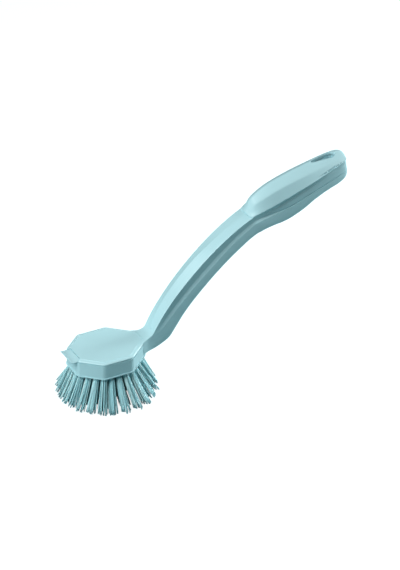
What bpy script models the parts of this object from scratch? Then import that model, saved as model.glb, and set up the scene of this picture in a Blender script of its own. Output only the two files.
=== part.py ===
"""Sink brush: an eight-sided tufted head with a front scraper, a curved neck and a padded grip with a hanging
eye.

The frame's origin is the centre of the head's flat top. +X runs from the head to the end of the grip, +Z is up,
and the bristles point down.
"""

import math

import bmesh
import bpy
import numpy as np

MM = 0.001

# Clearance kept between pieces that touch, and how far a cutter runs past what it cuts
CLEARANCE = 0.3 * MM
OVERRUN = 6 * MM

# Edges sharper than this stay crisp where a piece is shaded smooth
SHARP_DEGREES = 30

# Head block, seen from above: eight sides, longer towards the neck
HEAD_WIDTH = 50 * MM
HEAD_LENGTH = 62.6 * MM
HEAD_THICKNESS = 14.8 * MM
HEAD_FRONT_EDGE = 21 * MM
HEAD_REAR_EDGE = 14.4 * MM
HEAD_FRONT_TAPER = 16.6 * MM
HEAD_REAR_TAPER = 20.6 * MM
HEAD_CORNER_RADIUS = 4 * MM
HEAD_CORNER_STEPS = 4
TOP_CHAMFER_IN = 3 * MM
TOP_CHAMFER_DOWN = 1.2 * MM
BOTTOM_RIM_OUT = 0.45 * MM
BOTTOM_RIM_HEIGHT = 0.9 * MM

# Scraper lip at the front edge
LIP_REACH = 5.4 * MM
LIP_BACK = 3.2 * MM
LIP_WIDTH = 19.4 * MM
LIP_DISH_WIDTH = 20.6 * MM
LIP_BACK_WIDTH = 15.6 * MM
LIP_EDGE_THICKNESS = 0.7 * MM
LIP_EDGE_DROP = 0.7 * MM
LIP_DISH_DROP = 1.4 * MM
LIP_ROOT_DEPTH = 4 * MM
LIP_STEP = 0.5 * MM
LIP_OVERLAP = 3 * MM
LIP_CURVE_STEPS = 4

# Bristles: tufts stand in rings that follow the head's outline
BRISTLE_LENGTH = 26.8 * MM
TUFT_RADIUS = 2.15 * MM
TUFT_SIDES = 8
TUFT_HOLE_DEPTH = 7.5 * MM
TUFT_HOLE_LEAN_SHARE = 0.4
STRAND_GAP = 0.22 * MM
RING_EDGE_MARGIN = 4.3 * MM
TUFT_PITCH = 6.1 * MM
RING_NAMES = ("outer", "middle", "inner", "centre")
RING_SIZE_SHARES = (1, 0.68, 0.37, 0)
RING_TIP_SHARES = (1, 0.75, 0.42, 0)
TIP_RADIUS = 39 * MM
TIP_SPREAD = 2.2 * MM

# Handle, in its own plane: where the widest line of the neck and grip runs
ROOT_START = 12 * MM
ROOT_SINK = 0.8 * MM
ROOT_PULL = 20 * MM
ROOT_CURVE = 6 * MM
NECK_FOOT_X = 38.9 * MM
NECK_FOOT_Z = 5 * MM
NECK_FOOT_ANGLE = 63.5
NECK_FOOT_PULL = 32 * MM
GRIP_FRONT_X = 123.4 * MM
GRIP_FRONT_Z = 87.7 * MM
GRIP_FRONT_ANGLE = 26
GRIP_FRONT_PULL = 36.5 * MM
GRIP_LEAD_PULL = 15 * MM
GRIP_END_X = 214.1 * MM
GRIP_END_Z = 121.1 * MM
GRIP_END_ANGLE = 2
GRIP_END_PULL = 9 * MM

# Sections of the moulded handle
NECK_WIDTH = 17.8 * MM
GRIP_DEPTH = 20.6 * MM
NECK_ROOF_RISE = 3 * MM
GRIP_CORE_RISE = 8.6 * MM
GROOVE_INSET = 1.4 * MM
GROOVE_HEIGHT = 8 * MM
EDGE_ROUND = 0.6 * MM
UNDERSIDE_ROUND = 2.6 * MM
UNDERSIDE_CROWN = 0.5 * MM
BAND_FLARE = 0.8 * MM

# Where the points of the top lie across it, how round its crown is, and how far a rounded corner is cut in
TOP_ACROSS_SHARES = (0.25, 0.48, 0.68, 0.86)
CROWN_POWER = 2.2
CORNER_SHARE = 0.3

# Soft pad over the grip
PAD_CROWN = 4.3 * MM
PAD_SIDE = 2.7 * MM
PAD_SKIRT = 1.4 * MM
PAD_EDGE_ROUND = 0.5 * MM

# Hanging eye: a drop-shaped hole, wide at the back
EYE_BACK_RADIUS = 4.2 * MM
EYE_FRONT_RADIUS = 1.5 * MM
EYE_LENGTH = 22.6 * MM
EYE_BACK_MARGIN = 7.7 * MM
EYE_ARC_STEPS = 8

# Shares along the handle: 0 inside the head, 1 at the neck's foot, 2 at the front of the grip, 3 at its end
PAD_STATION_SHARES = (
    2.02, 2.026, 2.036, 2.05, 2.07, 2.1, 2.13, 2.16, 2.2, 2.25, 2.32, 2.4, 2.48, 2.56, 2.64, 2.72, 2.79, 2.85, 2.9,
    2.935, 2.962, 2.982, 2.994, 3,
)
NECK_STATION_SHARES = (
    0, 0.2, 0.32, 0.4, 0.48, 0.6, 0.78, 0.9, 1, 1.06, 1.13, 1.21, 1.3, 1.4, 1.5, 1.6, 1.7, 1.79, 1.87, 1.94, 1.99,
)
NECK_WIDTH_SHARES = (
    (0, 0.76), (0.2, 1.01), (0.32, 1.19), (0.4, 1.06), (0.48, 0.93), (0.6, 0.85), (0.85, 0.82), (1, 0.84),
    (1.08, 0.88), (1.2, 0.9), (1.4, 0.95), (1.6, 1), (1.9, 1.05), (2, 1.07), (2.15, 1.08), (2.3, 1.11),
    (2.45, 1.21), (2.6, 1.28), (2.75, 1.25), (2.85, 1.16), (2.93, 1.02), (2.97, 0.91), (2.985, 0.83), (3, 0.67),
)
DEPTH_SHARES = (
    (0, 0.6), (0.35, 0.6), (0.6, 0.63), (0.78, 0.7), (0.9, 0.8), (1, 0.86), (1.06, 0.88), (1.14, 0.89), (1.25, 0.88),
    (1.5, 0.9), (1.8, 0.885), (1.95, 0.845), (2.05, 0.845), (2.15, 0.88), (2.23, 0.95), (2.3, 1.04), (2.36, 1.07),
    (2.42, 1.055), (2.48, 1.005), (2.56, 0.89), (2.66, 0.825), (2.78, 0.825), (2.85, 0.78), (2.9, 0.715),
    (2.93, 0.635), (2.96, 0.53), (2.985, 0.4), (3, 0.25),
)
ROOF_RISE_SHARES = ((0, 0), (0.9, 0), (1.05, 0.31), (1.25, 0.94), (1.55, 1), (1.75, 0.52), (1.9, 0.24), (2.05, 0))
CORE_RISE_SHARES = (
    (0, 0), (1.9, 0), (2, 0.035), (2.08, 0.22), (2.17, 0.675), (2.3, 0.985), (2.38, 1), (2.5, 0.88), (2.62, 0.7),
    (2.75, 0.465), (2.88, 0.235), (3, 0.06),
)
GROOVE_DEPTH_SHARES = (
    (0, 0), (0.95, 0), (1.12, 0.8), (1.3, 1), (1.85, 1), (2.05, 0.93), (2.25, 1.07), (2.4, 0.5), (2.6, 0.29),
    (3, 0.14),
)
GROOVE_LINE_SHARES = (
    (0, 0.3), (0.95, 0.45), (1.1, 0.72), (1.3, 1.02), (1.6, 1.16), (1.9, 0.88), (2.08, 0.7), (2.25, 1.1), (2.4, 1.37),
    (2.6, 1.3), (2.8, 1.27), (2.92, 1.2), (3, 0.6),
)
BAND_FLARE_SHARES = (
    (0, 0), (1, 0), (1.3, 0.25), (2.04, 0.2), (2.08, 0.6), (2.2, 0.75), (2.4, 0.4), (2.7, 0.12), (3, 0.12),
)
PAD_REACH_SHARES = (
    (2.02, 0.39), (2.026, 0.53), (2.036, 0.64), (2.05, 0.72), (2.07, 0.79), (2.1, 0.83), (2.15, 0.865), (2.3, 0.92),
    (2.45, 0.91), (2.6, 0.89), (2.75, 0.86), (2.85, 0.84), (2.93, 0.82), (2.97, 0.81), (3, 0.78),
)
PAD_CROWN_SHARES = (
    (2.02, 0.22), (2.026, 0.41), (2.036, 0.56), (2.05, 0.62), (2.07, 0.7), (2.1, 0.93), (2.15, 1.13), (2.22, 1.1),
    (2.32, 1), (2.45, 0.91), (2.6, 0.87), (2.7, 0.88), (2.8, 0.83), (2.88, 0.76), (2.95, 0.7),
    (2.98, 0.65), (3, 0.56),
)
PAD_SKIRT_SHARES = ((2.02, 0.07), (2.12, 0.1), (2.3, 0.93), (2.6, 1), (2.8, 0.65), (2.95, 0.2), (3, 0.1))
# The pad's top slopes from a soft crest to a crease, whose height varies, and its flank falls to the lower edge
PAD_CREASE_SHARE = 0.67
PAD_CREASE_RISE_SHARES = ((2.02, 0.75), (2.2, 0.67), (2.45, 0.63), (2.6, 0.54), (2.7, 0.48), (3, 0.5))
PAD_TOP_SHARES = (0, 0.25, 0.5, 0.75, 0.93)
PAD_TOP_POWER = 1.25
PAD_FLANK_SHARES = (0.06, 0.5)

# Colour, with roughness after it
SHELL_FINISH = ((0.39, 0.66, 0.7, 1), 0.35)
PAD_FINISH = ((0.42, 0.68, 0.72, 1), 0.45)
BRISTLE_FINISH = ((0.34, 0.6, 0.63, 1), 0.4)


def clear_scene():
    for obj in list(bpy.data.objects):
        bpy.data.objects.remove(obj, do_unlink=True)


def new_collection(name):
    collection = bpy.data.collections.new(name)
    bpy.context.scene.collection.children.link(collection)
    return collection


def plastic(name, finish):
    colour, roughness = finish
    material = bpy.data.materials.new(name)
    material.use_nodes = True
    shader = material.node_tree.nodes["Principled BSDF"]
    shader.inputs["Base Color"].default_value = colour
    shader.inputs["Roughness"].default_value = roughness
    shader.inputs["Metallic"].default_value = 0
    material.diffuse_color = colour
    return material


def add_object(name, mesh_edit, collection, material=None):
    """Makes an object from a bmesh, with its faces pointing out."""
    bmesh.ops.recalc_face_normals(mesh_edit, faces=mesh_edit.faces)
    mesh = bpy.data.meshes.new(name)
    mesh_edit.to_mesh(mesh)
    mesh_edit.free()
    mesh.shade_smooth()
    mesh.set_sharp_from_angle(angle=math.radians(SHARP_DEGREES))
    obj = bpy.data.objects.new(name, mesh)
    collection.objects.link(obj)
    if material:
        mesh.materials.append(material)
    return obj


def hide_cutter(obj):
    obj.hide_render = True
    obj.display_type = "WIRE"


def add_boolean(obj, cutter, operation):
    modifier = obj.modifiers.new(f"{operation.lower()}_{cutter.name}", "BOOLEAN")
    modifier.operation = operation
    modifier.solver = "EXACT"
    modifier.object = cutter


def along(shares, place):
    """Reads a table of (place, value) at a place, on a smooth curve through its rows."""
    places = [row[0] for row in shares]
    values = [row[1] for row in shares]
    place = min(max(place, places[0]), places[-1])
    for k in range(len(shares) - 1):
        if place <= places[k + 1]:
            break
    span = places[k + 1] - places[k]
    slopes = []
    for j in (k, k + 1):
        low, high = max(j - 1, 0), min(j + 1, len(shares) - 1)
        slopes.append((values[high] - values[low]) / (places[high] - places[low]))
    t = (place - places[k]) / span
    return (
        values[k] * (1 + 2 * t) * (1 - t) ** 2
        + values[k + 1] * t * t * (3 - 2 * t)
        + span * (slopes[0] * t * (1 - t) ** 2 + slopes[1] * t * t * (t - 1))
    )


def loft(rings):
    """Joins closed rings of equal point counts into one closed surface."""
    mesh_edit = bmesh.new()
    rows = [[mesh_edit.verts.new(point) for point in ring] for ring in rings]
    count = len(rows[0])
    for before, after in zip(rows, rows[1:]):
        for k in range(count):
            following = (k + 1) % count
            mesh_edit.faces.new((before[k], before[following], after[following], after[k]))
    mesh_edit.faces.new(list(reversed(rows[0])))
    mesh_edit.faces.new(rows[-1])
    return mesh_edit


def head_corners(inset=0.0):
    """The eight corners of the head's outline, drawn in by an inset, anticlockwise from above."""
    front, rear = -HEAD_LENGTH / 2, HEAD_LENGTH / 2
    side = HEAD_WIDTH / 2
    corners = np.array([
        (front, -HEAD_FRONT_EDGE / 2),
        (front + HEAD_FRONT_TAPER, -side),
        (rear - HEAD_REAR_TAPER, -side),
        (rear, -HEAD_REAR_EDGE / 2),
        (rear, HEAD_REAR_EDGE / 2),
        (rear - HEAD_REAR_TAPER, side),
        (front + HEAD_FRONT_TAPER, side),
        (front, HEAD_FRONT_EDGE / 2),
    ])
    moved = []
    for k, corner in enumerate(corners):
        arriving = corner - corners[k - 1]
        leaving = corners[(k + 1) % len(corners)] - corner
        arriving /= np.linalg.norm(arriving)
        leaving /= np.linalg.norm(leaving)
        inward_a = np.array((-arriving[1], arriving[0]))
        inward_b = np.array((-leaving[1], leaving[0]))
        middle = inward_a + inward_b
        moved.append(corner + inset * middle / (middle @ inward_a))
    return np.array(moved)


def head_outline(inset=0.0):
    """The head's outline with its corners rounded."""
    corners = head_corners(inset)
    radius = HEAD_CORNER_RADIUS - inset
    points = []
    for k, corner in enumerate(corners):
        arriving = corner - corners[k - 1]
        leaving = corners[(k + 1) % len(corners)] - corner
        arriving /= np.linalg.norm(arriving)
        leaving /= np.linalg.norm(leaving)
        turn = math.acos(float(np.clip(arriving @ leaving, -1, 1)))
        start = corner - arriving * radius * math.tan(turn / 2)
        centre = start + radius * np.array((-arriving[1], arriving[0]))
        spoke = start - centre
        for step in range(HEAD_CORNER_STEPS + 1):
            angle = turn * step / HEAD_CORNER_STEPS
            cos, sin = math.cos(angle), math.sin(angle)
            points.append(centre + np.array((spoke[0] * cos - spoke[1] * sin, spoke[0] * sin + spoke[1] * cos)))
    return points


def head_block(collection, material):
    """The moulded block that carries the tufts: bottom rim, wall and chamfered top edge."""
    bottom = -HEAD_THICKNESS
    levels = (
        (bottom, -BOTTOM_RIM_OUT),
        (bottom + BOTTOM_RIM_HEIGHT, -BOTTOM_RIM_OUT),
        (bottom + BOTTOM_RIM_HEIGHT + BOTTOM_RIM_OUT, 0),
        (-TOP_CHAMFER_DOWN, 0),
        (0, TOP_CHAMFER_IN),
    )
    rings = [[(x, y, height) for x, y in head_outline(inset)] for height, inset in levels]
    return add_object("handle_body", loft(rings), collection, material)


def scraper_lip(collection):
    """The lip that runs out from the front edge to a straight scraping edge, curved underneath."""
    front = -HEAD_LENGTH / 2
    edge = front - LIP_REACH
    inside = front + LIP_BACK + LIP_OVERLAP
    under_edge = LIP_EDGE_DROP + LIP_EDGE_THICKNESS
    outline = [(inside, -LIP_STEP / 2), (edge, -LIP_STEP / 2), (edge, -under_edge)]
    for step in range(1, LIP_CURVE_STEPS + 1):
        angle = math.pi / 2 * step / LIP_CURVE_STEPS
        x = edge + (front - edge) * math.sin(angle)
        z = -under_edge - (LIP_ROOT_DEPTH - under_edge) * (1 - math.cos(angle))
        outline.append((x, z))
    outline.append((inside, -LIP_ROOT_DEPTH))
    rings = [[(x, y, z) for x, z in outline] for y in (-LIP_WIDTH / 2, LIP_WIDTH / 2)]
    lip = add_object("lip_blank", loft(rings), collection)
    hide_cutter(lip)
    return lip


def lip_dish(collection):
    """Cuts the lip's dished top, from a step in the head's top out to the scraping edge."""
    front = -HEAD_LENGTH / 2
    edge = front - LIP_REACH
    half, back_half = LIP_DISH_WIDTH / 2, LIP_BACK_WIDTH / 2
    stations = (
        (front + LIP_BACK, back_half, -LIP_STEP),
        (front, half, -LIP_DISH_DROP),
        ((front + edge) / 2, half, -LIP_DISH_DROP),
        (edge, half, -LIP_EDGE_DROP),
        (edge - OVERRUN, half, -LIP_EDGE_DROP),
    )
    rings = [[(x, -y, z), (x, y, z), (x, y, OVERRUN), (x, -y, OVERRUN)] for x, y, z in stations]
    dish = add_object("lip_dish", loft(rings), collection)
    hide_cutter(dish)
    return dish


def bezier(points, t):
    a, b, c, d = points
    place = a * (1 - t) ** 3 + 3 * b * t * (1 - t) ** 2 + 3 * c * t * t * (1 - t) + d * t**3
    slope = 3 * (b - a) * (1 - t) ** 2 + 6 * (c - b) * t * (1 - t) + 3 * (d - c) * t * t
    return place, slope / np.linalg.norm(slope)


def heading(degrees):
    return np.array((math.cos(math.radians(degrees)), math.sin(math.radians(degrees))))


def spine(place):
    """The handle's widest line, as a point (x, z) and the direction it runs in there."""
    start = np.array((ROOT_START, -ROOT_SINK))
    foot = np.array((NECK_FOOT_X, NECK_FOOT_Z))
    front = np.array((GRIP_FRONT_X, GRIP_FRONT_Z))
    end = np.array((GRIP_END_X, GRIP_END_Z))
    foot_way, front_way, end_way = heading(NECK_FOOT_ANGLE), heading(GRIP_FRONT_ANGLE), heading(GRIP_END_ANGLE)
    if place <= 1:
        knee = start + np.array((ROOT_PULL, 0.0))
        return bezier((start, knee, foot - foot_way * ROOT_CURVE, foot), place)
    if place <= 2:
        bend = (foot, foot + foot_way * NECK_FOOT_PULL, front - front_way * GRIP_FRONT_PULL, front)
        return bezier(bend, place - 1)
    return bezier((front, front + front_way * GRIP_LEAD_PULL, end - end_way * GRIP_END_PULL, end), place - 2)


def core_size(place):
    """Half width and crown rise of the moulded handle above its widest line."""
    half = NECK_WIDTH / 2 * along(NECK_WIDTH_SHARES, place)
    rise = NECK_ROOF_RISE * along(ROOF_RISE_SHARES, place) + GRIP_CORE_RISE * along(CORE_RISE_SHARES, place)
    return half, rise


def core_top(place, across):
    """Height of the moulded top above the widest line, at a distance across from the middle: a shallow roof
    that rounds into a crown along the grip."""
    half, rise = core_size(place)
    share = min(across / half, 1)
    roundness = min(max(along(CORE_RISE_SHARES, place), 0), 1)
    return rise * ((1 - roundness) * (1 - share) + roundness * (1 - share**CROWN_POWER))


def placed(place, section):
    """Turns half a section, as (across, up) points from the middle of its top round to the middle of its
    underside, into a whole ring in space."""
    point, way = spine(place)
    up = np.array((-way[1], way[0]))
    ring = []
    for side, row in ((1, section), (-1, reversed(section[1:-1]))):
        for across, height in row:
            spot = point + up * height
            ring.append((float(spot[0]), side * across, float(spot[1])))
    return ring


def handle_section(place):
    """Half a section of the moulding: top, sharp edge, side groove, flared band and rounded underside."""
    half, rise = core_size(place)
    inset = GROOVE_INSET * along(GROOVE_DEPTH_SHARES, place)
    line = GROOVE_HEIGHT * along(GROOVE_LINE_SHARES, place)
    depth = GRIP_DEPTH * along(DEPTH_SHARES, place)
    flare = BAND_FLARE * along(BAND_FLARE_SHARES, place)
    rounding = min(UNDERSIDE_ROUND, half / 2, (depth - line) / 2)
    edge = min(EDGE_ROUND, line / 4)
    wall = half - inset
    band = half - inset / 4 + flare
    section = [(0, rise)]
    section += [(half * share, core_top(place, half * share)) for share in TOP_ACROSS_SHARES]
    section += [
        (half - edge / 2, 0),
        (half, -edge),
        (wall, -edge - inset),
        (wall, -(line + edge + inset) / 2),
        (band - flare / 2, -line),
        (band, -(line + depth - rounding) / 2),
        (band, -(depth - rounding)),
        (band - rounding * CORNER_SHARE, -(depth - rounding * CORNER_SHARE)),
        (band - rounding, -depth),
        (0, -depth - UNDERSIDE_CROWN),
    ]
    return section


def handle_blank(collection):
    rings = [placed(place, handle_section(place)) for place in NECK_STATION_SHARES + PAD_STATION_SHARES]
    blank = add_object("handle_blank", loft(rings), collection)
    hide_cutter(blank)
    return blank


def pad_section(place):
    """Half a section of the pad: its outer curve, its skirt and the face that lies on the moulding. At the nose
    it stands on the top alone, and further on its skirt hangs over both edges."""
    half, _ = core_size(place)
    seat = half + CLEARANCE
    reach = (seat + PAD_SIDE) * along(PAD_REACH_SHARES, place)
    inner = min(reach - PAD_EDGE_ROUND, seat)
    foot = core_top(place, inner) + CLEARANCE
    top = core_top(place, 0) + CLEARANCE + PAD_CROWN * along(PAD_CROWN_SHARES, place)
    crease = (top - foot) * along(PAD_CREASE_RISE_SHARES, place)
    hem = foot - PAD_SKIRT * along(PAD_SKIRT_SHARES, place)
    flank = reach * (1 - PAD_CREASE_SHARE)
    section = []
    for share in PAD_TOP_SHARES:
        fall = (top - foot - crease) * share**PAD_TOP_POWER
        section.append(((reach - flank) * share, top - fall))
    for share in PAD_FLANK_SHARES:
        section.append((reach - flank * (1 - share), hem + (foot + crease - hem) * (1 - share)))
    section += [(reach, hem + PAD_EDGE_ROUND), (reach - PAD_EDGE_ROUND / 2, hem), (inner, hem), (inner, foot)]
    for share in reversed(TOP_ACROSS_SHARES):
        section.append((inner * share, core_top(place, inner * share) + CLEARANCE))
    section.append((0, core_top(place, 0) + CLEARANCE))
    return section


def grip_pad(collection, material):
    rings = [placed(place, pad_section(place)) for place in PAD_STATION_SHARES]
    return add_object("grip_pad", loft(rings), collection, material)


def hanging_eye(collection):
    """A drop-shaped cutter that runs straight down through the pad and the handle."""
    back = GRIP_END_X - EYE_BACK_MARGIN - EYE_BACK_RADIUS
    front = back + EYE_BACK_RADIUS - EYE_LENGTH + EYE_FRONT_RADIUS
    lean = math.asin((EYE_BACK_RADIUS - EYE_FRONT_RADIUS) / (back - front))
    turn = math.pi / 2 + lean
    outline = []
    for centre, radius, middle, sweep in (
        (back, EYE_BACK_RADIUS, 0, turn),
        (front, EYE_FRONT_RADIUS, math.pi, math.pi - turn),
    ):
        for step in range(EYE_ARC_STEPS + 1):
            angle = middle - sweep + 2 * sweep * step / EYE_ARC_STEPS
            outline.append((centre + radius * math.cos(angle), radius * math.sin(angle)))
    low = GRIP_FRONT_Z - GRIP_DEPTH
    high = GRIP_END_Z + GRIP_CORE_RISE + PAD_CROWN + OVERRUN
    cutter = add_object("eye_cutter", loft([[(x, y, z) for x, y in outline] for z in (low, high)]), collection)
    hide_cutter(cutter)
    return cutter


def ring_points(size_share):
    """Evenly spaced places, about a pitch apart, on the outline of the outer tufts drawn to a share of its size,
    the same on both sides of the middle plane."""
    if size_share == 0:
        return [(0.0, 0.0)]
    corners = head_corners(RING_EDGE_MARGIN) * size_share
    closed = np.vstack((corners, corners[:1]))
    lengths = np.r_[0, np.cumsum(np.linalg.norm(np.diff(closed, axis=0), axis=1))]
    whole = lengths[-1]
    count = round(whole / TUFT_PITCH)
    # The run starts in the middle of the front edge, so that both halves match
    first = whole - np.linalg.norm(corners[0] - corners[-1]) / 2
    points = []
    for k in range(count):
        run = (first + (k + 0.5) * whole / count) % whole
        x, y = (float(np.interp(run, lengths, closed[:, axis])) for axis in (0, 1))
        points.append((x, y))
    return points


def tuft_places():
    """Each tuft's name, its root on the head's underside and its tip, both seen from above."""
    places = []
    for name, size_share, tip_share in zip(RING_NAMES, RING_SIZE_SHARES, RING_TIP_SHARES):
        for k, root in enumerate(ring_points(size_share)):
            places.append((f"tuft_{name}_{k + 1:02d}", root, tip_of(root, TIP_RADIUS * tip_share)))
    return places


def tip_of(root, radius):
    """Where a tuft's middle ends: each ring's tips spread to a circle."""
    away = math.hypot(*root)
    if away == 0:
        return root
    return root[0] / away * radius, root[1] / away * radius


def hole_top(root, tip, depth):
    """The middle of a hole, which leans with its tuft, at a depth above the head's underside."""
    lean = TUFT_HOLE_LEAN_SHARE * depth / BRISTLE_LENGTH
    return root[0] - (tip[0] - root[0]) * lean, root[1] - (tip[1] - root[1]) * lean


def circle(centre, radius, height):
    points = []
    for k in range(TUFT_SIDES):
        angle = 2 * math.pi * (k + 0.5) / TUFT_SIDES
        points.append((centre[0] + radius * math.cos(angle), centre[1] + radius * math.sin(angle), height))
    return points


def tuft_holes(collection, places):
    """All the blind holes in the head's underside, as one cutter."""
    cutters = bmesh.new()
    for _, root, tip in places:
        rings = [
            circle(hole_top(root, tip, depth), TUFT_RADIUS + CLEARANCE, -HEAD_THICKNESS + depth)
            for depth in (-OVERRUN, TUFT_HOLE_DEPTH)
        ]
        rows = [[cutters.verts.new(point) for point in ring] for ring in rings]
        for k in range(TUFT_SIDES):
            following = (k + 1) % TUFT_SIDES
            cutters.faces.new((rows[0][k], rows[0][following], rows[1][following], rows[1][k]))
        cutters.faces.new(list(reversed(rows[0])))
        cutters.faces.new(rows[1])
    holes = add_object("tuft_holes", cutters, collection)
    hide_cutter(holes)
    return holes


def tuft(name, root, tip, collection, material):
    """One tuft: the folded root that fills its hole, and a strand from each sector of it, all ending level."""
    depth = TUFT_HOLE_DEPTH - CLEARANCE
    bottom, top = -HEAD_THICKNESS, -HEAD_THICKNESS + depth
    mesh_edit = bmesh.new()
    upper = [mesh_edit.verts.new(point) for point in circle(hole_top(root, tip, depth), TUFT_RADIUS, top)]
    lower = [mesh_edit.verts.new(point) for point in circle(root, TUFT_RADIUS, bottom)]
    middle = mesh_edit.verts.new((*root, bottom))
    mesh_edit.faces.new(upper)
    sectors = []
    for k in range(TUFT_SIDES):
        following = (k + 1) % TUFT_SIDES
        mesh_edit.faces.new((lower[k], lower[following], upper[following], upper[k]))
        sectors.append(mesh_edit.faces.new((lower[following], lower[k], middle)))
    bmesh.ops.inset_individual(mesh_edit, faces=sectors, thickness=STRAND_GAP)
    strands = bmesh.ops.extrude_discrete_faces(mesh_edit, faces=sectors)["faces"]
    spread = (TUFT_RADIUS + TIP_SPREAD) / TUFT_RADIUS
    for strand in strands:
        centre = strand.calc_center_median()
        shift = (
            tip[0] + (centre.x - root[0]) * spread - centre.x,
            tip[1] + (centre.y - root[1]) * spread - centre.y,
        )
        for vert in strand.verts:
            vert.co.x += shift[0]
            vert.co.y += shift[1]
            vert.co.z = bottom - BRISTLE_LENGTH
    return add_object(name, mesh_edit, collection, material)


def build():
    clear_scene()
    parts = new_collection("sink_brush")
    cutters = new_collection("cutters")
    shell = plastic("moulded_plastic", SHELL_FINISH)
    soft = plastic("pad_plastic", PAD_FINISH)
    bristle = plastic("bristle_plastic", BRISTLE_FINISH)

    places = tuft_places()
    body = head_block(parts, shell)
    eye = hanging_eye(cutters)
    add_boolean(body, handle_blank(cutters), "UNION")
    add_boolean(body, scraper_lip(cutters), "UNION")
    add_boolean(body, lip_dish(cutters), "DIFFERENCE")
    add_boolean(body, tuft_holes(cutters, places), "DIFFERENCE")
    add_boolean(body, eye, "DIFFERENCE")
    pad = grip_pad(parts, soft)
    add_boolean(pad, eye, "DIFFERENCE")
    for name, root, tip in places:
        tuft(name, root, tip, parts, bristle)


build()
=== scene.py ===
import math
import random

import bmesh
import bpy
import numpy as np
from mathutils import Matrix, Vector


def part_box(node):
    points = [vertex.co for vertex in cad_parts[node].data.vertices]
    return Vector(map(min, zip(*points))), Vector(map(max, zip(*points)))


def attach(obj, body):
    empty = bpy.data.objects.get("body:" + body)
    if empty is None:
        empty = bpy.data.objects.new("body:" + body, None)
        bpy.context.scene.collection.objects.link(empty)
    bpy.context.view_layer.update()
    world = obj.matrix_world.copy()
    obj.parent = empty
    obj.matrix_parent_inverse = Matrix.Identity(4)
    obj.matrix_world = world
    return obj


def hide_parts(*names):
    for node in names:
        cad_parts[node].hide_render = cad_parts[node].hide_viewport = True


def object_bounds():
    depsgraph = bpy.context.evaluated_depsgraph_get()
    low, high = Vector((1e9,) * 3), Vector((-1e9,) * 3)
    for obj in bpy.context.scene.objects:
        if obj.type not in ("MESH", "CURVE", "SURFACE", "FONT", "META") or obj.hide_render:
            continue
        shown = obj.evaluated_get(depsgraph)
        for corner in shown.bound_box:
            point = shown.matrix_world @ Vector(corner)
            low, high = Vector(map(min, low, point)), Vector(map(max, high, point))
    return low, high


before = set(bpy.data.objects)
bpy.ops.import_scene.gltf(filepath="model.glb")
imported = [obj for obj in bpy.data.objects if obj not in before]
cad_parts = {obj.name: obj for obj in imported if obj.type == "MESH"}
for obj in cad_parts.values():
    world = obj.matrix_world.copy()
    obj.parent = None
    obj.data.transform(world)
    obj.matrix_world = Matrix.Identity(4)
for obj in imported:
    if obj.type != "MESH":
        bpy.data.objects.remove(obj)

mm = 0.001
goldenTurn = 2.39996  # the angle from one strand to the next, which fills a circle evenly
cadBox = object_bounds()
random.seed(7)
bpy.ops.object.select_all(action="DESELECT")
print("frame loaded:", len(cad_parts), "nodes")


# small helpers that every piece uses

def deselectAll():
    if bpy.context.mode != "OBJECT":
        bpy.ops.object.mode_set(mode="OBJECT")
    bpy.ops.object.select_all(action="DESELECT")


def pick(obj):
    deselectAll()
    obj.select_set(True)
    bpy.context.view_layer.objects.active = obj


def editMesh(obj):
    pick(obj)
    bpy.ops.object.mode_set(mode="EDIT")
    return bmesh.from_edit_mesh(obj.data)


def leaveEdit():
    bpy.ops.object.mode_set(mode="OBJECT")


def applyModifier(obj, kind, **settings):
    pick(obj)
    modifier = obj.modifiers.new(kind.lower(), kind)
    for name, value in settings.items():
        setattr(modifier, name, value)
    bpy.ops.object.modifier_apply(modifier=modifier.name)


def combine(obj, other, operation):
    applyModifier(obj, "BOOLEAN", operation=operation, solver="EXACT", object=other)
    bpy.data.objects.remove(other, do_unlink=True)


def settle(obj):
    # a finished piece sits at the origin, with its place in its mesh
    pick(obj)
    bpy.ops.object.transform_apply(location=True, rotation=True, scale=True)


def drawRings(name, rings):
    # a circle at the first ring, drawn out ring by ring and closed at both ends
    deselectAll()
    bpy.ops.mesh.primitive_circle_add(vertices=len(rings[0]), radius=mm)
    obj = bpy.context.object
    obj.name = obj.data.name = name
    mesh = editMesh(obj)
    for vert, point in zip(mesh.verts, rings[0]):
        vert.co = point
    bpy.ops.mesh.select_all(action="SELECT")
    bpy.ops.mesh.edge_face_add()
    turn = {k: k for k in range(len(rings[0]))}  # which point of the ring each vertex is
    for ring in rings[1:]:
        bpy.ops.mesh.extrude_region_move()
        mesh = bmesh.from_edit_mesh(obj.data)
        mesh.verts.index_update()
        drawn = {}
        for vert in mesh.verts:
            if vert.select:
                near = [edge.other_vert(vert) for edge in vert.link_edges]
                root = next(other for other in near if not other.select)
                drawn[vert.index] = turn[root.index]
                vert.co = ring[turn[root.index]]
        turn = drawn
    bpy.ops.mesh.select_all(action="SELECT")
    bpy.ops.mesh.normals_make_consistent(inside=False)
    leaveEdit()
    return obj


def readRow(table, place):
    # smooth reading of a table of (place, value)
    places = [row[0] for row in table]
    values = [row[1] for row in table]
    place = min(max(place, places[0]), places[-1])
    k = max(i for i in range(len(places) - 1) if i == 0 or place > places[i])
    slopes = []
    for j in (k, k + 1):
        low, high = max(j - 1, 0), min(j + 1, len(table) - 1)
        slopes.append((values[high] - values[low]) / (places[high] - places[low]))
    span = places[k + 1] - places[k]
    t = (place - places[k]) / span
    return (values[k] * (1 + 2 * t) * (1 - t) ** 2 + values[k + 1] * t * t * (3 - 2 * t)
            + span * (slopes[0] * t * (1 - t) ** 2 + slopes[1] * t * t * (t - 1)))


def spread(first, last, count):
    return [first + (last - first) * k / (count - 1) for k in range(count)]


def between(ends, share):
    return ends[0] + (ends[1] - ends[0]) * share


arcSizes = {"steps": 3, "mostOfEdge": 0.45}


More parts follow.
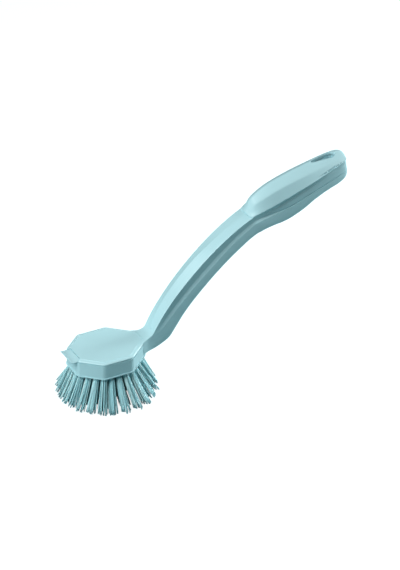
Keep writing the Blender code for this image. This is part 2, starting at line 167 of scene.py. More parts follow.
def roundProfile(corners):
    # corners are (across, up, radius); each one with a radius becomes a short arc
    points = []
    for k, (x, z, radius) in enumerate(corners):
        here = Vector((x, z))
        if radius == 0:
            points.append(here)
            continue
        back = Vector(corners[k - 1][:2]) - here
        ahead = Vector(corners[k + 1][:2]) - here
        reach = min(radius, back.length * arcSizes["mostOfEdge"], ahead.length * arcSizes["mostOfEdge"])
        first, last = here + back.normalized() * reach, here + ahead.normalized() * reach
        for step in range(arcSizes["steps"] + 1):
            t = step / arcSizes["steps"]
            points.append(first * (1 - t) ** 2 + here * 2 * t * (1 - t) + last * t * t)
    return [(p.x, p.y) for p in points]


# handle: head block, neck and grip core in one moulding

headSizes = {
    "length": 62.6, "width": 50, "thickness": 14.8, "frontEdge": 21, "rearEdge": 14.4,
    "frontTaper": 16.6, "rearTaper": 20.6, "cornerReach": 2.2, "cornerSteps": 6,
    "rimOut": 0.45, "rimHeight": 0.9,
    # the seam's height and all of crownUp together stay under seamDrop
    "seamDrop": 2.3, "seamDepth": 0.5, "seamReturn": 0.4, "seamHeight": 0.7,
    "crownIn": (0.3, 0.6, 1.5, 0.3, 0.3), "crownUp": (0.45, 0.35, 0.4, -0.3, 0.3),
}

spineSizes = {
    "start": (12, -0.8), "startPull": 20,
    "foot": (38.9, 5), "footAngle": 63.5, "footCurve": 6, "footPull": 32,
    "front": (123.4, 87.7), "frontAngle": 26, "frontPull": 36.5, "leadPull": 15,
    "end": (214.1, 121.1), "endAngle": 2, "endPull": 9,
}

# tables of (place, millimetres); place 0 is inside the head, 1 the neck's foot, 2 the grip's front, 3 its end
handleSizes = {
    "halfWidth": ((0, 6.8), (0.2, 9), (0.32, 10.6), (0.4, 9.4), (0.48, 8.3), (0.6, 7.6), (0.85, 7.3), (1, 7.5),
                  (1.08, 7.8), (1.2, 8), (1.4, 8.5), (1.6, 8.9), (1.9, 9.35), (2, 9.5), (2.15, 9.6), (2.3, 9.9),
                  (2.45, 10.8), (2.6, 11.4), (2.75, 11.1), (2.85, 10.3), (2.93, 9.1), (2.97, 8.1),
                  (2.985, 7.4), (3, 6)),
    "depth": ((0, 12.4), (0.35, 12.4), (0.6, 13), (0.78, 14.4), (0.9, 16.5), (1, 17.7), (1.06, 18.1),
              (1.14, 18.3), (1.25, 18.1), (1.5, 18.5), (1.8, 18.2), (1.95, 17.4), (2.05, 17.4), (2.15, 18.1),
              (2.23, 19.6), (2.3, 21.4), (2.36, 22.1), (2.42, 21.7), (2.48, 20.7), (2.56, 18.3), (2.66, 17),
              (2.78, 17), (2.85, 16.1), (2.9, 14.7), (2.93, 13.1), (2.96, 10.9), (2.985, 8.3), (3, 5.2)),
    "roof": ((0, 0), (0.9, 0), (1.05, 0.93), (1.25, 2.8), (1.55, 3), (1.75, 1.55), (1.9, 0.7), (2.05, 0)),
    "crown": ((0, 0), (1.9, 0), (2, 0.3), (2.08, 1.9), (2.17, 5.8), (2.3, 8.5), (2.38, 8.6), (2.5, 7.6),
              (2.62, 6), (2.75, 4), (2.88, 2), (3, 0.5)),
    "groove": ((0, 0), (0.95, 0), (1.12, 1.1), (1.3, 1.4), (1.85, 1.4), (2.05, 1.3), (2.25, 1.5), (2.4, 1.3),
               (2.6, 1.2), (2.82, 1.2), (2.95, 1), (3, 0.5)),
    "flush": ((0, 0), (2.12, 0), (2.26, 0.45), (2.38, 1), (3, 1)),
    "line": ((0, 2.4), (0.95, 3.5), (1.1, 5.2), (1.3, 6.9), (1.6, 7.8), (1.9, 6.2), (2.08, 5.5), (2.25, 8.8),
             (2.4, 11), (2.6, 10.4), (2.8, 10.2), (2.92, 9.6), (3, 5)),
    "flare": ((0, 0), (1, 0), (1.3, 0.2), (2.04, 0.15), (2.08, 0.5), (2.2, 0.6), (2.4, 0.3), (2.7, 0.1),
              (3, 0.1)),
    "slope": ((0, 2), (1, 2), (1.9, 2), (2.1, 1.5), (2.25, 0.4), (3, 0.3)),
    "tuck": ((0, 1.2), (1.9, 1.2), (2.1, 2.4), (2.25, 5), (2.35, 5.2), (2.56, 3.4), (2.82, 1.8), (2.95, 1),
             (3, 0.7)),
    "notch": ((0, 0), (2.1, 0), (2.25, 0.6), (2.65, 0.6), (2.85, 0.4), (3, 0.1)),
    "fullCrown": 8.6, "crownPower": 2.2, "smoothAngle": 32,
}
# sections stand close together at the round end
endPlaces = [2.915, 2.93, 2.945, 2.957, 2.967, 2.976, 2.984, 2.99, 2.995, 2.998, 3]

# millimetres within one section; a pair is the value on the neck and the value on the grip
sectionSizes = {
    "topShares": (0.03, 0.2, 0.4, 0.55, 0.7, 0.82, 0.92), "edgeDrop": 0.1, "edgeRadius": 0.5,
    "tuckRadius": 0.6, "mostTuck": 0.6, "shoulderShare": 0.25, "shoulderInset": 0.35,
    "footInset": 0.1, "footRise": 0.9, "footRadius": 0.3,
    "notchRise": (0.3, -0.35), "notchRadius": (0.3, 0.2),
    "bandInset": (1.4, 0.6), "bandShare": 0.25, "bandRise": (0, 0.1), "bandRadius": (0.4, 0.15), "bandSwell": 0.1,
    "lowRadius": 2.6, "lowReach": 1.5, "lowSwell": 0.5, "lowSideSwell": 0.35,
}


def curveAt(points, t):
    a, b, c, d = (Vector(point) for point in points)
    spot = a * (1 - t) ** 3 + b * 3 * t * (1 - t) ** 2 + c * 3 * t * t * (1 - t) + d * t ** 3
    way = (b - a) * (1 - t) ** 2 + (c - b) * 2 * t * (1 - t) + (d - c) * t * t
    return spot, way.normalized()


def spineAt(place):
    # the spot on the middle line of the top, and the way the line runs there
    s = spineSizes
    ways = {}
    for key in ("foot", "front", "end"):
        angle = math.radians(s[key + "Angle"])
        ways[key] = Vector((math.cos(angle), math.sin(angle)))
    start, foot, front, end = (Vector(s[key]) for key in ("start", "foot", "front", "end"))
    if place <= 1:
        pulls = (start + Vector((s["startPull"], 0)), foot - ways["foot"] * s["footCurve"])
        return curveAt((start, *pulls, foot), place)
    if place <= 2:
        pulls = (foot + ways["foot"] * s["footPull"], front - ways["front"] * s["frontPull"])
        return curveAt((foot, *pulls, front), place - 1)
    pulls = (front + ways["front"] * s["leadPull"], end - ways["end"] * s["endPull"])
    return curveAt((front, *pulls, end), place - 2)


def topAt(place, across):
    # how high the top stands above its edges: a roof on the neck, a crown on the grip
    half = readRow(handleSizes["halfWidth"], place)
    crown = readRow(handleSizes["crown"], place)
    rise = readRow(handleSizes["roof"], place) + crown
    share = min(across / half, 1)
    roundness = min(max(crown / handleSizes["fullCrown"], 0), 1)
    return rise * ((1 - roundness) * (1 - share) + roundness * (1 - share ** handleSizes["crownPower"]))


def placeRing(place, profile):
    # half a section, mirrored and stood square to the spine
    spot, way = spineAt(place)
    up = Vector((-way.y, way.x))
    ring = []
    for side, row in ((1, profile), (-1, profile[-2:0:-1])):
        for across, height in row:
            at = spot + up * height
            ring.append((at.x * mm, side * across * mm, at.y * mm))
    return ring


def handleProfile(place):
    # half a section: over the top, into the side groove, out to the band and under
    s = sectionSizes
    half, depth, inset, line, flare, slope, tuck, notch, flush = (
        readRow(handleSizes[key], place)
        for key in ("halfWidth", "depth", "groove", "line", "flare", "slope", "tuck", "notch", "flush"))
    band = half - min(inset, between(s["bandInset"], flush)) * s["bandShare"] + flare
    foot = between((half - inset, band - s["footInset"]), flush)
    shoulder = between((half - inset, band - s["shoulderInset"]), flush)
    tuck = min(tuck, line * s["mostTuck"])
    low = min(s["lowRadius"], half / 2, (depth - line) / 2)
    corners = [(0, topAt(place, 0), 0)]
    corners += [(half * share, topAt(place, half * share), 0) for share in s["topShares"]]
    corners += [
        (half, -s["edgeDrop"], s["edgeRadius"]),
        (half - inset, -tuck, s["tuckRadius"]),
        (shoulder, -tuck - (line - tuck) * s["shoulderShare"], s["tuckRadius"]),
        (foot, -line + s["footRise"], s["footRadius"]),
        (foot - notch, -line + between(s["notchRise"], flush), between(s["notchRadius"], flush)),
        (band, -line - slope + between(s["bandRise"], flush), between(s["bandRadius"], flush)),
        (band + s["bandSwell"], -(line + depth) / 2, 0),
        (band, -depth, low * s["lowReach"]),
        (band / 2, -depth - s["lowSideSwell"], 0),
        (0, -depth - s["lowSwell"], 0),
    ]
    return roundProfile(corners)


def makeHead():
    # an eight-sided disc, drawn up past the rim and the seam to the crowned top
    s = headSizes
    deselectAll()
    bpy.ops.mesh.primitive_circle_add(vertices=8, radius=s["width"] / 2 * mm, fill_type="NGON")
    head = bpy.context.object
    head.name = head.data.name = "brushHandle"
    front, side = -s["length"] / 2, s["width"] / 2
    rear = -front
    corners = [(front, -s["frontEdge"] / 2), (front + s["frontTaper"], -side), (rear - s["rearTaper"], -side),
               (rear, -s["rearEdge"] / 2), (rear, s["rearEdge"] / 2), (rear - s["rearTaper"], side),
               (front + s["frontTaper"], side), (front, s["frontEdge"] / 2)]
    mesh = editMesh(head)
    loop = [l.vert for l in mesh.faces[:][0].loops]
    for vert, (x, y) in zip(loop, corners):
        vert.co = (x * mm, y * mm, -s["thickness"] * mm)
    bpy.ops.mesh.select_all(action="SELECT")
    bpy.ops.mesh.bevel(offset=s["cornerReach"] * mm, segments=s["cornerSteps"], affect="VERTICES")
    bpy.ops.mesh.select_all(action="SELECT")
    wider = (1 + 2 * s["rimOut"] / s["length"], 1 + 2 * s["rimOut"] / s["width"], 1)
    bpy.ops.transform.resize(value=wider, center_override=(0, 0, 0))

    def rise(height):
        bpy.ops.mesh.extrude_region_move(TRANSFORM_OT_translate={"value": (0, 0, height * mm)})

    rise(s["rimHeight"])
    bpy.ops.mesh.inset(thickness=s["rimOut"] * mm, depth=0)
    rise(s["thickness"] - s["rimHeight"] - s["seamDrop"])
    bpy.ops.mesh.inset(thickness=s["seamDepth"] * mm, depth=0)
    rise(s["seamHeight"])
    bpy.ops.mesh.extrude_region_move()
    wider = (1 + 2 * s["seamReturn"] / s["length"], 1 + 2 * s["seamReturn"] / s["width"], 1)
    bpy.ops.transform.resize(value=wider, center_override=(0, 0, 0))
    rise(s["seamDrop"] - s["seamHeight"] - sum(s["crownUp"]))
    for inwards, up in zip(s["crownIn"], s["crownUp"]):
        bpy.ops.mesh.inset(thickness=inwards * mm, depth=0)
        bpy.ops.transform.translate(value=(0, 0, up * mm))
    bpy.ops.mesh.select_all(action="SELECT")
    bpy.ops.mesh.normals_make_consistent(inside=False)
    leaveEdit()
    return head


lipSizes = {
    "reach": 5.4, "back": 3.2, "backHalf": 7.8, "backInset": 0.4, "rootHalf": 10.3, "tipHalf": 9.7,
    "rootDepth": 4.5, "step": 0.5, "dish": 1.4, "dishLine": ((2.6, 1.05), (4.2, 0.85)),
    "edgeDrop": 0.7, "edgeThickness": 0.7, "edgeRadius": 0.22, "edgeAngle": 50, "curveSteps": 8,
    "seatDrop": 0.6, "seatHeight": 6, "seatReach": 6,
}


def makeLip():
    s = lipSizes
    front = -headSizes["length"] / 2
    edge, back = front - s["reach"], front + s["back"] - s["backInset"]
    backHalf, tipHalf = s["backHalf"] - s["backInset"], s["tipHalf"]
    under = s["edgeDrop"] + s["edgeThickness"]
    # (along, up, half the width), round the lip from its root
    outline = [(back, -s["rootDepth"], backHalf), (back, -s["step"], backHalf), (front, -s["dish"], tipHalf)]
    outline += [(front - reach, -s["dish"] * share, tipHalf) for reach, share in s["dishLine"]]
    outline += [(edge, -s["edgeDrop"], tipHalf), (edge, -under, tipHalf)]
    for step in range(s["curveSteps"]):
        angle = math.pi / 2 * (step + 1) / s["curveSteps"]
        drop = (s["rootDepth"] - under) * (1 - math.cos(angle))
        outline.append((edge + s["reach"] * math.sin(angle), -under - drop, tipHalf))
    rings = [[(x * mm, side * half * mm, z * mm) for x, z, half in outline] for side in (-1, 1)]
    lip = drawRings("lipBlank", rings)
    applyModifier(lip, "BEVEL", width=s["edgeRadius"] * mm, segments=2, limit_method="ANGLE",
                  angle_limit=math.radians(s["edgeAngle"]))
    return lip


def makeLipSeat():
    # takes away what of the head stands above the lip
    s = lipSizes
    front = -headSizes["length"] / 2
    high = s["seatHeight"]
    rings = []
    for x, half, drop in ((front + s["back"], s["backHalf"], s["step"]), (front, s["rootHalf"], s["dish"]),
                          (front - s["seatReach"], s["rootHalf"], s["dish"])):
        low = -drop - s["seatDrop"]
        section = ((-half, low), (half, low), (half, high), (-half, high))
        rings.append([(x * mm, y * mm, z * mm) for y, z in section])
    return drawRings("lipSeat", rings)


eyeSizes = {"backRadius": 4.2, "frontRadius": 1.5, "back": 202.2, "front": 185.3, "low": 60, "high": 145,
            "arcSteps": 24}


def makeEye():
    # a drop in plan: a wide arc at the back and a narrow one at the front, with straight sides
    s = eyeSizes
    lean = math.asin((s["backRadius"] - s["frontRadius"]) / (s["back"] - s["front"]))
    sweep = math.pi / 2 + lean
    plan = []
    for centre, radius, middle, half in ((s["back"], s["backRadius"], 0, sweep),
                                         (s["front"], s["frontRadius"], math.pi, math.pi - sweep)):
        for step in range(s["arcSteps"] + 1):
            angle = middle - half + 2 * half * step / s["arcSteps"]
            plan.append((centre + radius * math.cos(angle), radius * math.sin(angle)))
    return drawRings("eyeCutter", [[(x * mm, y * mm, z * mm) for x, y in plan] for z in (s["low"], s["high"])])


def makeHandle():
    places = spread(0, 0.9, 20) + spread(0.92, 2.9, 120) + endPlaces
    neck = drawRings("neckBlank", [placeRing(place, handleProfile(place)) for place in places])
    handle = makeHead()
    combine(handle, neck, "UNION")
    combine(handle, makeLipSeat(), "DIFFERENCE")
    combine(handle, makeLip(), "UNION")
    combine(handle, makeEye(), "DIFFERENCE")
    pick(handle)
    bpy.ops.object.shade_smooth_by_angle(angle=math.radians(handleSizes["smoothAngle"]))
    return handle


# pad: the softer cover over the grip

# the tables are shares of the sizes above them, by the same places as the handle's
padSizes = {
    "gap": 0.3, "crown": 4.3, "side": 2.7, "wall": 0.5, "creaseRadius": 1.4, "hemRise": 0.15, "hemRadius": 0.4,
    "topShares": (0, 0.1, 0.2, 0.32, 0.44, 0.56, 0.68, 0.8), "topPower": 1.25,
    "innerShares": (0.86, 0.68, 0.48, 0.25, 0),
    "voxel": 0.42, "smoothing": 0.5, "smoothTimes": 3, "facesKept": 0.4,
    "crease": ((2.02, 0.2), (2.06, 0.3), (2.12, 0.47), (2.2, 0.6), (2.3, 0.66), (3, 0.67)),
    "reach": ((2.02, 0.39), (2.026, 0.53), (2.036, 0.64), (2.05, 0.72), (2.07, 0.79), (2.1, 0.83),
              (2.15, 0.865), (2.3, 0.92), (2.45, 0.91), (2.6, 0.89), (2.75, 0.86), (2.85, 0.84), (2.93, 0.82),
              (2.97, 0.81), (3, 0.78)),
    "rise": ((2.02, 0.22), (2.026, 0.41), (2.036, 0.56), (2.05, 0.62), (2.07, 0.7), (2.1, 0.93), (2.15, 1.13),
             (2.22, 1.1), (2.32, 1), (2.45, 0.91), (2.6, 0.87), (2.7, 0.88), (2.8, 0.83), (2.88, 0.76),
             (2.95, 0.7), (2.98, 0.65), (3, 0.56)),
    "skirt": ((2.02, 0.1), (2.12, 0.15), (2.3, 1.3), (2.6, 1.4), (2.8, 0.9), (2.95, 0.3), (3, 0.15)),
    "creaseRise": ((2.02, 0.75), (2.2, 0.67), (2.45, 0.63), (2.6, 0.54), (2.7, 0.48), (3, 0.5)),
}


def padProfile(place):
    # half a section: over the crest and the crease to the hem, then back along the grip core
    s = padSizes
    seat = readRow(handleSizes["halfWidth"], place) + s["gap"]
    reach = (seat + s["side"]) * readRow(s["reach"], place)
    inner = min(reach - s["wall"], seat)
    foot = topAt(place, inner) + s["gap"]
    top = topAt(place, 0) + s["gap"] + s["crown"] * readRow(s["rise"], place)
    crease = (top - foot) * readRow(s["creaseRise"], place)
    edge = reach * readRow(s["crease"], place)
    corners = []
    for share in s["topShares"]:
        corners.append((edge * share, top - (top - foot - crease) * share ** s["topPower"], 0))
    hem = foot - readRow(s["skirt"], place)
    corners += [(edge, foot + crease, s["creaseRadius"]),
                ((edge + reach) / 2, foot + (crease + hem - foot) / 2, 0),
                (reach, hem + s["hemRise"], s["hemRadius"]), (reach - s["hemRadius"], hem, 0)]
    profile = roundProfile(corners) + [(inner, hem), (inner, foot)]
    for share in s["innerShares"]:
        profile.append((inner * share, topAt(place, inner * share) + s["gap"]))
    return profile


def makePad():
    s = padSizes
    nosePlaces = [2.02, 2.023, 2.026, 2.03, 2.036, 2.042, 2.05, 2.06, 2.07, 2.085]  # close together, for the nose
    places = nosePlaces + spread(2.1, 2.9, 70) + endPlaces
    pad = drawRings("gripPad", [placeRing(place, padProfile(place)) for place in places])
    combine(pad, makeEye(), "DIFFERENCE")
    applyModifier(pad, "REMESH", mode="VOXEL", voxel_size=s["voxel"] * mm)
    applyModifier(pad, "SMOOTH", factor=s["smoothing"], iterations=s["smoothTimes"])
    applyModifier(pad, "DECIMATE", ratio=s["facesKept"])
    pick(pad)
    bpy.ops.object.shade_smooth()
    return pad


# bristles: one strand is drawn once, and every tuft is filled with bent copies of it

bristleSizes = {
    "strands": 96, "thickness": 0.42, "sides": 4, "rings": 8, "reach": 26.8, "rootRise": 1, "rootRadius": 2.1,
    "tipRadius": {"outer": 4.2, "middle": 5.4, "inner": 5, "centre": 5},
    "clumps": 11, "clumping": 0.5, "clumpTurn": 0.4, "clumpTone": 0.7, "strandTurn": 0.25, "stray": 0.15,
    "shortest": 0.95, "unevenness": 0.025, "bendPower": 1.12,
    "wavyShare": 0.1, "waveHeight": 0.2, "waveLength": 3.4,
}


def makeStrand():
    # one straight strand, a unit long
    s = bristleSizes
    deselectAll()
    bpy.ops.mesh.primitive_circle_add(vertices=s["sides"], radius=s["thickness"] / 2 * mm, fill_type="NGON")
    strand = bpy.context.object
    editMesh(strand)
    bpy.ops.mesh.select_all(action="SELECT")
    for step in range(s["rings"]):
        bpy.ops.mesh.extrude_region_move(TRANSFORM_OT_translate={"value": (0, 0, -1 / s["rings"])})
    bpy.ops.mesh.select_all(action="SELECT")
    bpy.ops.mesh.normals_make_consistent(inside=False)
    leaveEdit()
    return strand


def tuftEnds(node):
    # the middle of a tuft's root and of its tips in millimetres, read from its place in the frame
    slack = 0.05 * mm
    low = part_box(node)[0]
    spots = np.array([vert.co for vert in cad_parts[node].data.vertices])
    bottom = -headSizes["thickness"] * mm
    root = spots[np.abs(spots[:, 2] - bottom) < slack].mean(0)
    tip = spots[spots[:, 2] < low.z + slack].mean(0)
    return root / mm, tip / mm


def makeTuft(node, strand):
    s = bristleSizes
    root, tip = tuftEnds(node)
    count = s["strands"]
    tipRadius = s["tipRadius"][node.split("_")[1]]
    mesh = bmesh.new()
    for k in range(count):
        mesh.from_mesh(strand.data)
    data = bpy.data.meshes.new(node.replace("tuft", "bristles"))
    mesh.to_mesh(data)
    mesh.free()
    each = len(strand.data.vertices)
    unit = np.array([vert.co for vert in strand.data.vertices])
    down = -unit[:, 2]
    # strands gather in clumps, each with its own place, tone and length
    clumps = []
    for k in range(s["clumps"]):
        away = math.sqrt((k + 0.5) / s["clumps"])
        turn = k * goldenTurn + random.uniform(-s["clumpTurn"], s["clumpTurn"])
        clumps.append((math.cos(turn) * away, math.sin(turn) * away, random.random(),
                       random.uniform(s["shortest"], 1)))
    spots, tones = [], []
    for k in range(count):
        away = math.sqrt((k + 0.5) / count)
        turn = k * goldenTurn + random.uniform(-s["strandTurn"], s["strandTurn"])
        flat = np.array((math.cos(turn) * away, math.sin(turn) * away))
        clump = min(clumps, key=lambda c: math.hypot(c[0] - flat[0], c[1] - flat[1]))
        end = flat + (np.array(clump[:2]) - flat) * s["clumping"]
        end = end * tipRadius + np.array((random.gauss(0, 1), random.gauss(0, 1))) * s["stray"]
        length = clump[3] * random.uniform(1 - s["unevenness"], 1)
        t = down * length
        bend = t ** s["bendPower"]
        x = root[0] + flat[0] * s["rootRadius"] * (1 - t) + (tip[0] - root[0]) * bend + end[0] * t
        y = root[1] + flat[1] * s["rootRadius"] * (1 - t) + (tip[1] - root[1]) * bend + end[1] * t
        z = root[2] + s["rootRise"] + (tip[2] - root[2] - s["rootRise"]) * t
        if random.random() < s["wavyShare"]:
            turns = t * s["reach"] / s["waveLength"]
            wave = np.sin(turns * 2 * math.pi + random.uniform(0, 6)) * s["waveHeight"]
            side = random.uniform(0, math.pi)
            x, y = x + wave * math.cos(side), y + wave * math.sin(side)
        spin = random.uniform(0, math.pi)
        cx = unit[:, 0] * math.cos(spin) - unit[:, 1] * math.sin(spin)
        cy = unit[:, 0] * math.sin(spin) + unit[:, 1] * math.cos(spin)
        spots.append(np.stack((x * mm + cx, y * mm + cy, z * mm), 1))
        tones.append(np.full(each, clump[2] * s["clumpTone"] + random.random() * (1 - s["clumpTone"])))
    data.vertices.foreach_set("co", np.concatenate(spots).astype(np.float32).ravel())
    tone = data.attributes.new("strandTone", "FLOAT", "POINT")
    tone.data.foreach_set("value", np.concatenate(tones).astype(np.float32))
    data.update()
    tuft = bpy.data.objects.new(data.name, data)
    bpy.context.scene.collection.objects.link(tuft)
    pick(tuft)
    bpy.ops.object.shade_smooth()
    return tuft


# finishes

mouldedLook = {"mottleScale": 45, "mottleDetail": 3, "grainDetail": 4, "grainStrength": 0.6,
               "roughnessSpread": 0.12, "ior": 1.48, "specular": 0.3}
plasticLooks = {
    "handlePlastic": {"colour": (0.44, 0.71, 0.76, 1), "roughness": 0.38, "mottle": 0.08, "grainScale": 1600,
                      "grainDepth": 0.03},
    "padPlastic": {"colour": (0.45, 0.72, 0.77, 1), "roughness": 0.42, "mottle": 0.08, "grainScale": 1100,
                   "grainDepth": 0.04},
}
bristleLook = {"dark": (0.11, 0.29, 0.32, 1), "middle": (0.49, 0.88, 0.94, 1), "pale": (0.74, 1, 1, 1),
               "roughness": 0.28}


def newGroup(name, inputs, outputs):
    group = bpy.data.node_groups.new(name, "ShaderNodeTree")
    for label, kind, value in inputs:
        socket = group.interface.new_socket(label, in_out="INPUT", socket_type=kind)
        socket.default_value = value
    for label, kind in outputs:
        group.interface.new_socket(label, in_out="OUTPUT", socket_type=kind)
    nodes = group.nodes
    return group, nodes.new("NodeGroupInput"), nodes.new("NodeGroupOutput")


def makeMouldedGroup():
    # faint mottling of the colour, uneven roughness and a fine mould grain
    group, given, out = newGroup(
        "mouldedSurface",
        [("Colour", "NodeSocketColor", (1, 1, 1, 1)), ("Mottle", "NodeSocketFloat", 0),
         ("Roughness", "NodeSocketFloat", 0.5), ("Grain Scale", "NodeSocketFloat", 1000)],
        [("Colour", "NodeSocketColor"), ("Roughness", "NodeSocketFloat"), ("Height", "NodeSocketFloat")])
    nodes, links = group.nodes, group.links
    spot = nodes.new("ShaderNodeTexCoord")
    broad = nodes.new("ShaderNodeTexNoise")
    broad.inputs["Scale"].default_value = mouldedLook["mottleScale"]
    broad.inputs["Detail"].default_value = mouldedLook["mottleDetail"]
    grain = nodes.new("ShaderNodeTexNoise")
    grain.inputs["Detail"].default_value = mouldedLook["grainDetail"]
    links.new(spot.outputs["Object"], broad.inputs["Vector"])
    links.new(spot.outputs["Object"], grain.inputs["Vector"])
    links.new(given.outputs["Grain Scale"], grain.inputs["Scale"])
    tint = nodes.new("ShaderNodeMath")
    tint.operation = "MULTIPLY_ADD"
    centred = nodes.new("ShaderNodeMath")
    centred.operation = "SUBTRACT"
    centred.inputs[1].default_value = 0.5
    links.new(broad.outputs["Fac"], centred.inputs[0])
    links.new(centred.outputs[0], tint.inputs[0])
    links.new(given.outputs["Mottle"], tint.inputs[1])
    tint.inputs[2].default_value = 1
    scaled = nodes.new("ShaderNodeVectorMath")
    scaled.operation = "SCALE"
    links.new(given.outputs["Colour"], scaled.inputs[0])
    links.new(tint.outputs[0], scaled.inputs["Scale"])
    links.new(scaled.outputs[0], out.inputs["Colour"])
    rough = nodes.new("ShaderNodeMath")
    rough.operation = "MULTIPLY_ADD"
    rough.inputs[1].default_value = mouldedLook["roughnessSpread"]
    links.new(centred.outputs[0], rough.inputs[0])
    links.new(given.outputs["Roughness"], rough.inputs[2])
    links.new(rough.outputs[0], out.inputs["Roughness"])
    links.new(grain.outputs["Fac"], out.inputs["Height"])
    return group


def makePlastic(name, group):
    look = plasticLooks[name]
    material = bpy.data.materials.new(name)
    material.use_nodes = True
    nodes, links = material.node_tree.nodes, material.node_tree.links
    shader = nodes["Principled BSDF"]
    surface = nodes.new("ShaderNodeGroup")
    surface.node_tree = group
    surface.inputs["Colour"].default_value = look["colour"]
    surface.inputs["Roughness"].default_value = look["roughness"]
    surface.inputs["Mottle"].default_value = look["mottle"]
    surface.inputs["Grain Scale"].default_value = look["grainScale"]
    bump = nodes.new("ShaderNodeBump")
    bump.inputs["Distance"].default_value = look["grainDepth"] * mm
    bump.inputs["Strength"].default_value = mouldedLook["grainStrength"]
    links.new(surface.outputs["Colour"], shader.inputs["Base Color"])
    links.new(surface.outputs["Roughness"], shader.inputs["Roughness"])
    links.new(surface.outputs["Height"], bump.inputs["Height"])
    links.new(bump.outputs["Normal"], shader.inputs["Normal"])
    shader.inputs["IOR"].default_value = mouldedLook["ior"]
    shader.inputs["Specular IOR Level"].default_value = mouldedLook["specular"]
    return material


def makeBristlePlastic():
    # each strand's own tone picks its colour
    material = bpy.data.materials.new("bristlePlastic")
    material.use_nodes = True
    nodes, links = material.node_tree.nodes, material.node_tree.links
    shader = nodes["Principled BSDF"]
    tone = nodes.new("ShaderNodeAttribute")
    tone.attribute_name = "strandTone"
    ramp = nodes.new("ShaderNodeValToRGB")
    ramp.color_ramp.elements[0].color = bristleLook["dark"]
    ramp.color_ramp.elements[1].color = bristleLook["pale"]
    ramp.color_ramp.elements.new(0.5).color = bristleLook["middle"]
    links.new(tone.outputs["Fac"], ramp.inputs["Fac"])
    links.new(ramp.outputs["Color"], shader.inputs["Base Color"])
    shader.inputs["Roughness"].default_value = bristleLook["roughness"]
    return material


def dress(obj, material, slot, *nodes):
    obj.data.materials.clear()
    obj.data.materials.append(material)
    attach(obj, "root")
    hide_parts(*nodes)


mouldedGroup = makeMouldedGroup()
handlePlastic = makePlastic("handlePlastic", mouldedGroup)
padPlastic = makePlastic("padPlastic", mouldedGroup)
bristlePlastic = makeBristlePlastic()

handle = makeHandle()
settle(handle)
dress(handle, handlePlastic, "moulded_plastic", "handle_body")
print("handle made:", len(handle.data.polygons), "faces")

pad = makePad()
settle(pad)
dress(pad, padPlastic, "pad_plastic", "grip_pad")
print("pad made:", len(pad.data.polygons), "faces")

strand = makeStrand()
tufts = 0
for node in sorted(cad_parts):
    if node.startswith("tuft_"):
        dress(makeTuft(node, strand), bristlePlastic, "bristle_plastic", node)
        tufts += 1
bpy.data.objects.remove(strand, do_unlink=True)
print("bristles made:", tufts, "tufts")


# floor, light and camera

studio = {
    "floorSize": 6, "floorColour": (0.17, 0.33, 0.36, 1), "floorRoughness": 0.9, "floorGlow": 0.92,
    "worldLight": 0, "aim": (0.06, 0, 0.03), "lampDistance": 0.9, "lampSize": 0.45,
    "lamps": (
        # name, direction from the brush, power
        ("keySoftbox", (-0.65, -0.1, 0.75), 7.2),
        ("leftSoftbox", (-0.95, 0.08, 0.08), 2.2),
        ("frontSoftbox", (0.6, -0.42, 0.75), 2.4),
        ("rightSoftbox", (0.98, 0.05, 0.15), 10),
    ),
}


def makeFloor():
    # it takes shadows, and its glow shows to the camera only
    deselectAll()
    bpy.ops.mesh.primitive_plane_add(size=studio["floorSize"], location=(0, 0, cadBox[0][2]))
    floor = bpy.context.object
    floor.name = "paleFloor"
    settle(floor)
    material = bpy.data.materials.new("paleFloor")
    material.use_nodes = True
    nodes, links = material.node_tree.nodes, material.node_tree.links
    shader = nodes["Principled BSDF"]
    shader.inputs["Base Color"].default_value = studio["floorColour"]
    shader.inputs["Roughness"].default_value = studio["floorRoughness"]
    shader.inputs["Emission Color"].default_value = (1, 1, 1, 1)
    path = nodes.new("ShaderNodeLightPath")
    glow = nodes.new("ShaderNodeMath")
    glow.operation = "MULTIPLY"
    glow.inputs[1].default_value = studio["floorGlow"]
    links.new(path.outputs["Is Camera Ray"], glow.inputs[0])
    links.new(glow.outputs[0], shader.inputs["Emission Strength"])
    floor.data.materials.append(material)


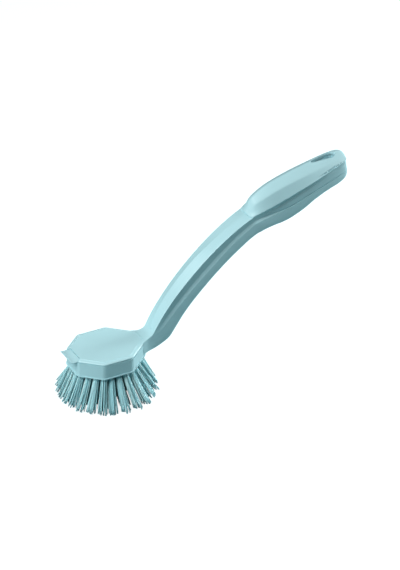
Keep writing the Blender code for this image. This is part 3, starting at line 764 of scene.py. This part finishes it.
def makeWorld():
    # white behind the brush, and no light from it
    world = bpy.data.worlds.new("studioWorld")
    bpy.context.scene.world = world
    world.use_nodes = True
    nodes, links = world.node_tree.nodes, world.node_tree.links
    background = nodes["Background"]
    path = nodes.new("ShaderNodeLightPath")
    seen = nodes.new("ShaderNodeMath")
    seen.operation = "MAXIMUM"
    mix = nodes.new("ShaderNodeMapRange")
    mix.inputs["To Min"].default_value = studio["worldLight"]
    mix.inputs["To Max"].default_value = 1
    links.new(path.outputs["Is Camera Ray"], seen.inputs[0])
    links.new(path.outputs["Is Transmission Ray"], seen.inputs[1])
    links.new(seen.outputs[0], mix.inputs["Value"])
    links.new(mix.outputs["Result"], background.inputs["Strength"])
    background.inputs["Color"].default_value = (1, 1, 1, 1)


def makeLamps():
    aim = Vector(studio["aim"])
    for name, way, power in studio["lamps"]:
        deselectAll()
        spot = aim + Vector(way).normalized() * studio["lampDistance"]
        bpy.ops.object.light_add(type="AREA", location=spot)
        lamp = bpy.context.object
        lamp.name = name
        lamp.data.shape = "DISK"
        lamp.data.size = studio["lampSize"]
        lamp.data.energy = power
        lamp.rotation_euler = (aim - spot).to_track_quat("-Z", "Y").to_euler()


cameraView = {"azimuth": -30.15, "elevation": 31.541, "roll": 1.721, "spot": (-599.74, -1177.62, 868.33),
              "lens": 124.69, "sensor": 36, "nearest": 10}


def makeCamera():
    azimuth, elevation, roll = (math.radians(cameraView[key]) for key in ("azimuth", "elevation", "roll"))
    bpy.ops.object.camera_add(location=Vector(cameraView["spot"]) * mm)
    camera = bpy.context.object
    camera.name = "photoCamera"
    camera.data.sensor_width = cameraView["sensor"]
    camera.data.lens = cameraView["lens"]
    camera.data.clip_start = cameraView["nearest"] * mm
    camera.rotation_mode = "QUATERNION"
    look = Vector((-math.sin(azimuth) * math.cos(elevation), math.cos(azimuth) * math.cos(elevation),
                   -math.sin(elevation)))
    across = Vector((math.cos(azimuth), math.sin(azimuth), 0))
    upwards = across.cross(look)
    right = across * math.cos(roll) + upwards * math.sin(roll)
    top = upwards * math.cos(roll) - across * math.sin(roll)
    camera.rotation_quaternion = Matrix((right, top, -look)).transposed().to_quaternion()
    bpy.context.scene.camera = camera


makeFloor()
makeWorld()
makeLamps()
makeCamera()
bpy.context.scene.view_settings.view_transform = "Standard"
print("studio made")
